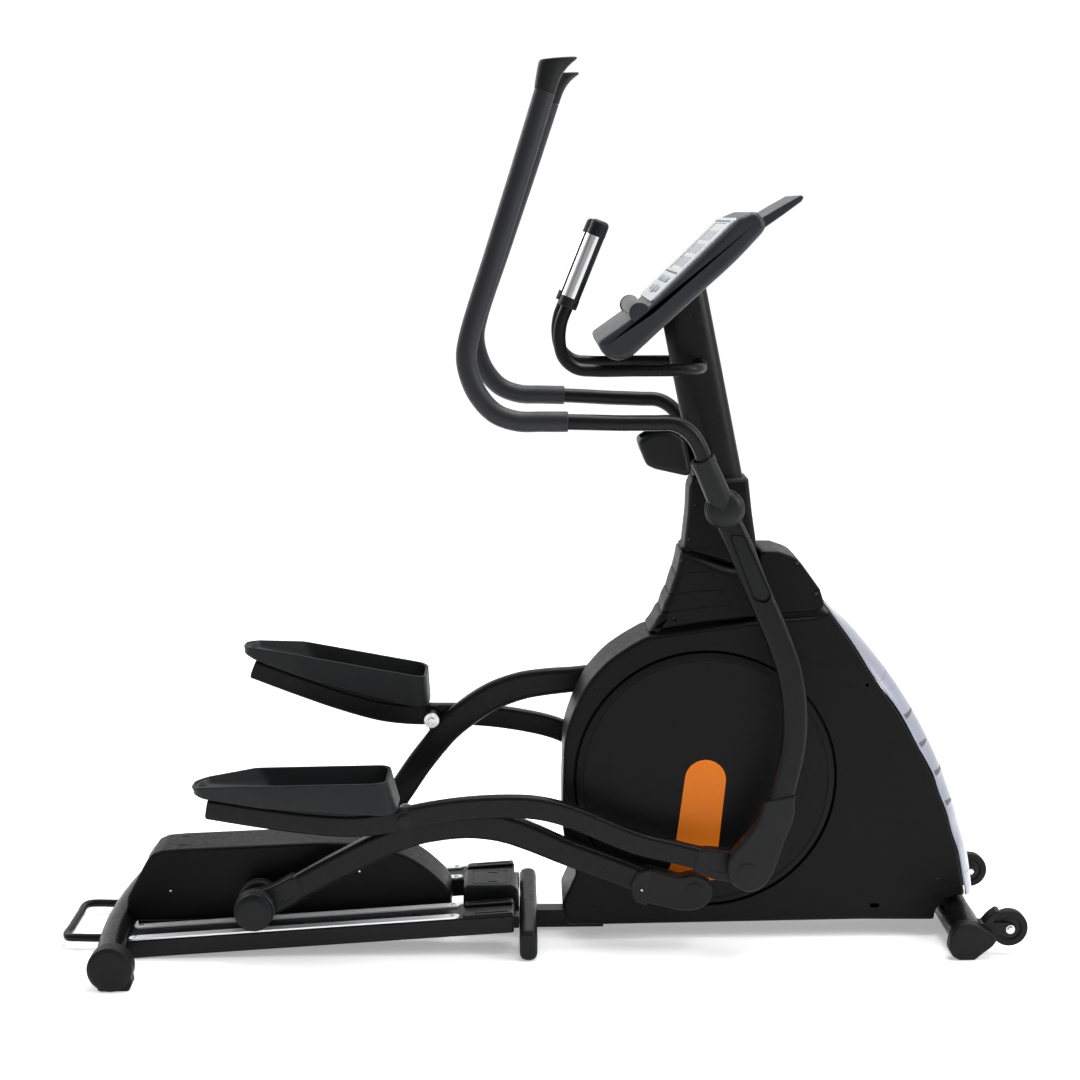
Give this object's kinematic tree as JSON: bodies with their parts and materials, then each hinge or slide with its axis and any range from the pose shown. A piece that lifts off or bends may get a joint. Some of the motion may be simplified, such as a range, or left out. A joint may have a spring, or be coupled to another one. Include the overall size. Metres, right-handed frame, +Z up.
{
  "type": "elliptical trainer",
  "caption": "Front-drive elliptical trainer with rail rollers, pedal arms, swinging handlebars, closed drive housing, mast console and stabilizers.",
  "frame": {"origin": "centre of the footprint on the floor", "axes": "+X towards the drive housing (the way the user faces), +Y the user's left, +Z up"},
  "size_m": [2.0588, 0.728, 1.854],
  "materials": {
    "paint": "satin black powder coat",
    "casing": "fine grained black",
    "shield": "satin silver lacquer",
    "trim": "dark grey, grained",
    "rubber": "black",
    "foam": "closed cell foam, matt",
    "console": "slate grey, grained",
    "screen": "light grey printed face",
    "chrome": "polished contact plates",
    "steel": "ground shaft",
    "aluminium": "bright drawn flat bar",
    "orange": "orange",
    "red": "red",
    "iron": "machined"
  },
  "bodies": {
    "frame": {"main_frame": "paint", "mast": "paint", "pulse_bar": "paint", "rear_stabilizer": "paint", "front_stabilizer": "paint", "middle_stabilizer": "paint", "right_rail": "paint", "left_rail": "paint", "rear_handle": "paint", "spine_beam": "paint", "right_side_cover": "casing", "left_side_cover": "casing", "top_cover": "casing", "mast_cover_upper": "casing", "mast_cover_lower": "casing", "rear_cover": "casing", "centre_cover": "casing", "front_shield": "shield", "bottle_holder": "trim", "right_rear_cap": "rubber", "left_rear_cap": "rubber", "right_front_cap": "rubber", "left_front_cap": "rubber", "drive_belt": "rubber", "console_body": "console", "reading_rack": "console", "console_screen": "screen", "right_pulse_grip": "chrome", "left_pulse_grip": "chrome", "pivot_axle": "steel", "right_inner_track": "aluminium", "left_inner_track": "aluminium", "right_outer_track": "aluminium", "left_outer_track": "aluminium", "brake_magnet": "iron"},
    "crankset": {"crank_axle": "steel", "drive_pulley": "trim", "right_crank_disc": "casing", "left_crank_disc": "casing", "right_crank_plate": "orange", "left_crank_plate": "orange"},
    "flywheel": {"flywheel": "iron"},
    "idler": {"idler_pulley": "steel"},
    "power_switch": {"power_switch": "red"},
    "right_carriage": {"right_roller_axle": "trim"},
    "right_rollers": {"right_rollers": "rubber"},
    "right_rail_arm": {"right_rail_arm": "paint"},
    "right_pedal_arm": {"right_pedal_arm": "paint", "right_pedal": "trim"},
    "right_swing_arm": {"right_swing_arm": "paint", "right_handle_grip": "foam"},
    "right_transport_wheel": {"right_transport_wheel": "rubber"},
    "left_carriage": {"left_roller_axle": "trim"},
    "left_rollers": {"left_rollers": "rubber"},
    "left_rail_arm": {"left_rail_arm": "paint"},
    "left_pedal_arm": {"left_pedal_arm": "paint", "left_pedal": "trim"},
    "left_swing_arm": {"left_swing_arm": "paint", "left_handle_grip": "foam"},
    "left_transport_wheel": {"left_transport_wheel": "rubber"}
  },
  "joints": [
    {"name": "crank_spin", "type": "hinge", "parent": "frame", "child": "crankset", "pos_m": [0.3563, 0, 0.356], "axis": [0, 1, 0], "continuous": true},
    {"name": "flywheel_spin", "type": "hinge", "parent": "frame", "child": "flywheel", "pos_m": [0.65, 0, 0.33], "axis": [0, 1, 0], "continuous": true},
    {"name": "idler_spin", "type": "hinge", "parent": "frame", "child": "idler", "pos_m": [0.56011, 0, 0.24072], "axis": [0, 1, 0], "continuous": true},
    {"name": "power_switch_rock", "type": "hinge", "parent": "frame", "child": "power_switch", "pos_m": [0.92, 0, 0.172], "axis": [0, 1, 0], "range_deg": [0, 7]},
    {"name": "right_roll", "type": "slide", "parent": "frame", "child": "right_carriage", "axis": [0.9982, 0, 0.0602], "range_m": [-0.117, 0.231]},
    {"name": "right_rollers_spin", "type": "hinge", "parent": "right_carriage", "child": "right_rollers", "pos_m": [-0.6044, 0, 0.1036], "axis": [0, 1, 0], "range_deg": [-156.5, 308.1]},
    {"name": "right_rail_arm_pitch", "type": "hinge", "parent": "right_carriage", "child": "right_rail_arm", "pos_m": [-0.6044, 0, 0.1036], "axis": [0, -1, 0], "range_deg": [0, 28.8]},
    {"name": "right_pedal_arm_pivot", "type": "hinge", "parent": "right_rail_arm", "child": "right_pedal_arm", "pos_m": [-0.28313, 0, 0.29957], "axis": [0, -1, 0], "range_deg": [-40.4, 0]},
    {"name": "right_swing", "type": "hinge", "parent": "frame", "child": "right_swing_arm", "pos_m": [0.38, 0, 0.96], "axis": [0, -1, 0], "range_deg": [-9, 17.7]},
    {"name": "right_transport_wheel_spin", "type": "hinge", "parent": "frame", "child": "right_transport_wheel", "pos_m": [0.9905, 0, 0.0587], "axis": [0, 1, 0], "continuous": true},
    {"name": "left_roll", "type": "slide", "parent": "frame", "child": "left_carriage", "axis": [0.9982, 0, 0.0602], "range_m": [-0.231, 0.117]},
    {"name": "left_rollers_spin", "type": "hinge", "parent": "left_carriage", "child": "left_rollers", "pos_m": [-0.4233, 0, 0.11452], "axis": [0, 1, 0], "range_deg": [-308.1, 156.5]},
    {"name": "left_rail_arm_pitch", "type": "hinge", "parent": "left_carriage", "child": "left_rail_arm", "pos_m": [-0.4233, 0, 0.11452], "axis": [0, -1, 0], "range_deg": [-28.8, 0]},
    {"name": "left_pedal_arm_pivot", "type": "hinge", "parent": "left_rail_arm", "child": "left_pedal_arm", "pos_m": [-0.23657, 0, 0.44125], "axis": [0, -1, 0], "range_deg": [0, 40.4]},
    {"name": "left_swing", "type": "hinge", "parent": "frame", "child": "left_swing_arm", "pos_m": [0.38, 0, 0.96], "axis": [0, -1, 0], "range_deg": [-17.7, 9]},
    {"name": "left_transport_wheel_spin", "type": "hinge", "parent": "frame", "child": "left_transport_wheel", "pos_m": [0.9905, 0, 0.0587], "axis": [0, 1, 0], "continuous": true}
  ],
  "couplings": [
    {"joint": "flywheel_spin", "follows": "crank_spin", "ratio": 6.8182},
    {"joint": "idler_spin", "follows": "crank_spin", "ratio": -6.4583},
    {"joint": "left_roll", "follows": "right_roll", "ratio": -1},
    {"joint": "right_rollers_spin", "follows": "right_roll", "rad_per_m": 23.202},
    {"joint": "left_rollers_spin", "follows": "right_roll", "rad_per_m": -23.202},
    {"joint": "right_swing", "follows": "right_roll", "rad_per_m": 1.33},
    {"joint": "left_swing", "follows": "right_roll", "rad_per_m": -1.33},
    {"joint": "left_rail_arm_pitch", "follows": "right_rail_arm_pitch", "ratio": -1},
    {"joint": "right_pedal_arm_pivot", "follows": "right_rail_arm_pitch", "ratio": -1.4},
    {"joint": "left_pedal_arm_pivot", "follows": "right_rail_arm_pitch", "ratio": 1.4}
  ]
}
